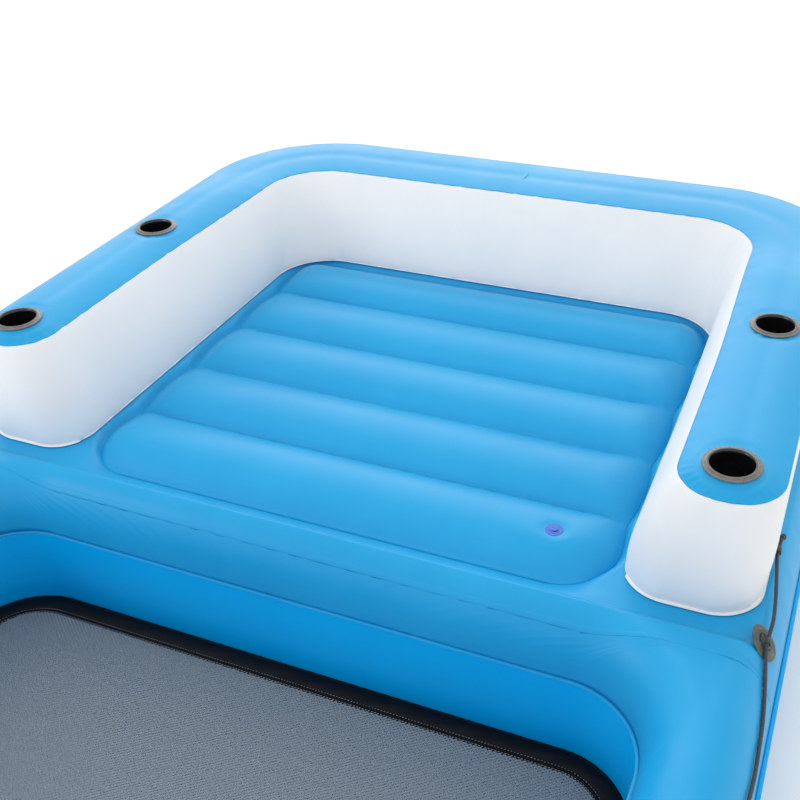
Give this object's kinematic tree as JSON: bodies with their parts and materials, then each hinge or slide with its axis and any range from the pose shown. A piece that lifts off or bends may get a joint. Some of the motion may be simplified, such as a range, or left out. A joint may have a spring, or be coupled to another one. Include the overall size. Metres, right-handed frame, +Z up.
{
  "type": "inflatable pool float",
  "caption": "Inflatable lounge float with a ribbed mattress, U-shaped backrest with cup holders, and a foot well with a mesh floor.",
  "frame": {"origin": "on the ground under the middle of the float", "axes": "+Z up, +Y towards the backrest, +X to the right of a person who faces the backrest"},
  "size_m": [2.13, 3.088, 0.6522],
  "materials": {
    "pvc_blue": "semi-matte soft vinyl sheet, sky blue",
    "pvc_deep_blue": "semi-matte soft vinyl sheet, deeper blue",
    "pvc_white": "semi-matte soft vinyl sheet, white",
    "cup_black": "glossy moulded plastic",
    "cup_ring_grey": "satin moulded ring",
    "mesh_net": "coated open mesh",
    "navy_vinyl": "leather-grained vinyl binding",
    "navy_piping": "soft piping",
    "rope_dark": "braided polypropylene rope",
    "patch_dark": "moulded soft vinyl",
    "strap_dark": "moulded soft vinyl",
    "valve_clear_blue": "translucent tinted soft plastic"
  },
  "bodies": {
    "float": {"base_bottom_sheet": "pvc_blue", "base_lower_wall": "pvc_blue", "base_seam_flange": "pvc_deep_blue", "lounge_deck_sheet": "pvc_blue", "well_ring_top_sheet": "pvc_blue", "well_wall": "pvc_deep_blue", "well_seam_flange": "pvc_deep_blue", "lounge_webs": "pvc_blue", "beam_tie_webs": "pvc_blue", "mattress_top_sheet": "pvc_blue", "mattress_bottom_sheet": "pvc_blue", "mattress_webs": "pvc_blue", "backrest_wall": "pvc_white", "backrest_top_panel": "pvc_blue", "backrest_bottom_sheet": "pvc_white", "backrest_foot_hem": "pvc_white", "backrest_tie_web": "pvc_white", "cup_liner_front_left": "cup_black", "cup_liner_front_right": "cup_black", "cup_liner_rear_left": "cup_black", "cup_liner_rear_right": "cup_black", "cup_ring_front_left": "cup_ring_grey", "cup_ring_front_right": "cup_ring_grey", "cup_ring_rear_left": "cup_ring_grey", "cup_ring_rear_right": "cup_ring_grey", "mesh_floor": "mesh_net", "mesh_border": "navy_vinyl", "mesh_piping": "navy_piping", "mesh_weld_strip": "pvc_deep_blue", "grab_rope_left": "rope_dark", "grab_rope_right": "rope_dark", "rope_knots_left": "rope_dark", "rope_knots_right": "rope_dark", "arm_patch_left": "patch_dark", "arm_patch_right": "patch_dark", "arm_strap_left": "strap_dark", "arm_strap_right": "strap_dark", "base_patches_left": "patch_dark", "base_patches_right": "patch_dark", "base_straps_left": "strap_dark", "base_straps_right": "strap_dark", "mattress_valve_flange": "valve_clear_blue", "mattress_valve_flap": "valve_clear_blue", "base_valve_flange": "valve_clear_blue", "base_valve_flap": "valve_clear_blue", "backrest_valve_flange": "valve_clear_blue", "backrest_valve_flap": "valve_clear_blue"},
    "mattress_valve_stem": {"mattress_valve_stem": "valve_clear_blue"},
    "mattress_valve_plug": {"mattress_valve_plug": "valve_clear_blue"},
    "base_valve_stem": {"base_valve_stem": "valve_clear_blue"},
    "base_valve_plug": {"base_valve_plug": "valve_clear_blue"},
    "backrest_valve_stem": {"backrest_valve_stem": "valve_clear_blue"},
    "backrest_valve_plug": {"backrest_valve_plug": "valve_clear_blue"}
  },
  "joints": [
    {"name": "mattress_valve_pull", "type": "slide", "parent": "float", "child": "mattress_valve_stem", "axis": [0, 0, 1], "range_m": [0, 0.013]},
    {"name": "mattress_plug_hinge", "type": "hinge", "parent": "mattress_valve_stem", "child": "mattress_valve_plug", "pos_m": [0.5434, -0.0003, 0.3853], "axis": [0, 1, 0], "range_deg": [0, 150]},
    {"name": "base_valve_pull", "type": "slide", "parent": "float", "child": "base_valve_stem", "axis": [0, 1, 0], "range_m": [0, 0.013]},
    {"name": "base_plug_hinge", "type": "hinge", "parent": "base_valve_stem", "child": "base_valve_plug", "pos_m": [-0.48, 1.5347, 0.1426], "axis": [-1, 0, 0], "range_deg": [0, 150]},
    {"name": "backrest_valve_pull", "type": "slide", "parent": "float", "child": "backrest_valve_stem", "axis": [0, 1, 0], "range_m": [0, 0.013]},
    {"name": "backrest_plug_hinge", "type": "hinge", "parent": "backrest_valve_stem", "child": "backrest_valve_plug", "pos_m": [0.48, 1.4891, 0.4926], "axis": [-1, 0, 0], "range_deg": [0, 150]}
  ]
}
